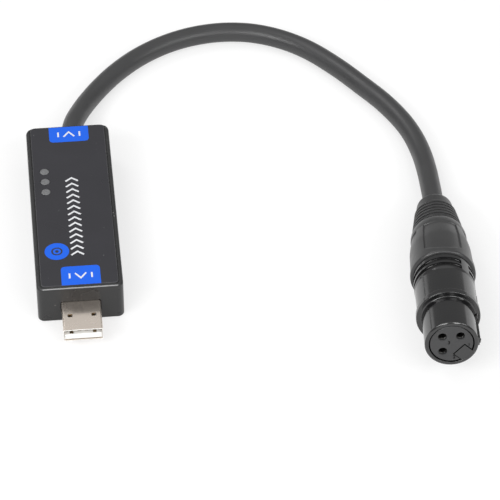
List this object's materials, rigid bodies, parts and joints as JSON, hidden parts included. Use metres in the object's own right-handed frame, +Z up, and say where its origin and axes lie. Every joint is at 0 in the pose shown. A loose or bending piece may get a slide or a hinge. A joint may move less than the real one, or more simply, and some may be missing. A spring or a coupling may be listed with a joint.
{
  "type": "usb dmx interface",
  "caption": "Slim black cased lighting interface with a USB plug at one end and a short cord to a round three-hole latching connector at the other.",
  "frame": {"origin": "middle of the case's flat underside, on the standing surface", "axes": "+Z up; the case lies along Y with its USB plug towards -Y and its cord leaving towards +Y; the connector lies at +X"},
  "size_m": [0.134, 0.1704, 0.0225],
  "materials": {
    "casing": "satin black moulded plastic",
    "label": "smooth black film with blue printed marks",
    "window": "translucent grey",
    "plug_steel": "plated sheet steel",
    "insulator": "white moulded",
    "gold": "gold plated",
    "board": "green lacquered board",
    "chip": "moulded black with tinned leads",
    "tin": "tinned can",
    "lamp": "diffusing",
    "resistor": "glazed chip",
    "ceramic": "tan chip",
    "rubber": "matte black",
    "jacket": "satin dark grey cord sheath",
    "nylon": "satin black nylon",
    "black_metal": "glossy black coated die casting",
    "insert": "satin black moulded",
    "silver": "silver plated",
    "wire_red": "red insulation",
    "wire_bare": "twisted bare copper",
    "wire_white": "white insulation"
  },
  "bodies": {
    "interface": {"base_plate": "casing", "bridge_chip": "chip", "buffer_capacitor": "tin", "cable": "jacket", "cable_grommet": "rubber", "cable_in_case": "jacket", "cable_in_connector": "jacket", "cable_tie": "nylon", "case_cover": "casing", "chip_capacitor_1": "ceramic", "chip_capacitor_2": "ceramic", "chip_capacitor_3": "ceramic", "chip_resistor_1": "resistor", "chip_resistor_2": "resistor", "chip_resistor_3": "resistor", "chip_resistor_4": "resistor", "circuit_board": "board", "clamp_sleeve": "nylon", "connector_contact_1": "silver", "connector_contact_2": "silver", "connector_contact_3": "silver", "connector_insert": "insert", "connector_shell": "black_metal", "crystal": "tin", "driver_chip": "chip", "label_overlay": "label", "lamp_1": "lamp", "lamp_2": "lamp", "lamp_3": "lamp", "latch_pin": "silver", "latch_spring": "silver", "light_window_1": "window", "light_window_2": "window", "light_window_3": "window", "radio_board": "board", "radio_shield": "tin", "usb_contact_1": "gold", "usb_contact_2": "gold", "usb_contact_3": "gold", "usb_contact_4": "gold", "usb_shell": "plug_steel", "usb_tongue": "insulator", "wire_in_case_1": "wire_red", "wire_in_case_2": "wire_bare", "wire_in_case_3": "wire_white", "wire_in_connector_1": "wire_red", "wire_in_connector_2": "wire_bare", "wire_in_connector_3": "wire_white"},
    "latch": {"latch_lever": "black_metal"},
    "nut": {"gland_nut": "nylon", "boot": "rubber"}
  },
  "joints": [
    {"name": "latch_press", "type": "hinge", "parent": "interface", "child": "latch", "pos_m": [0.11832, -0.04956, 0.01107], "axis": [-0.0595, -0.1059, -0.9926], "range_deg": [0, 2.4], "stiffness_Nm_per_rad": 0.35},
    {"name": "nut_turn", "type": "hinge", "parent": "interface", "child": "nut", "pos_m": [0.11111, -0.03389, 0.00983], "axis": [-0.0662, -0.9918, 0.1097], "range_deg": [0, 360]}
  ]
}
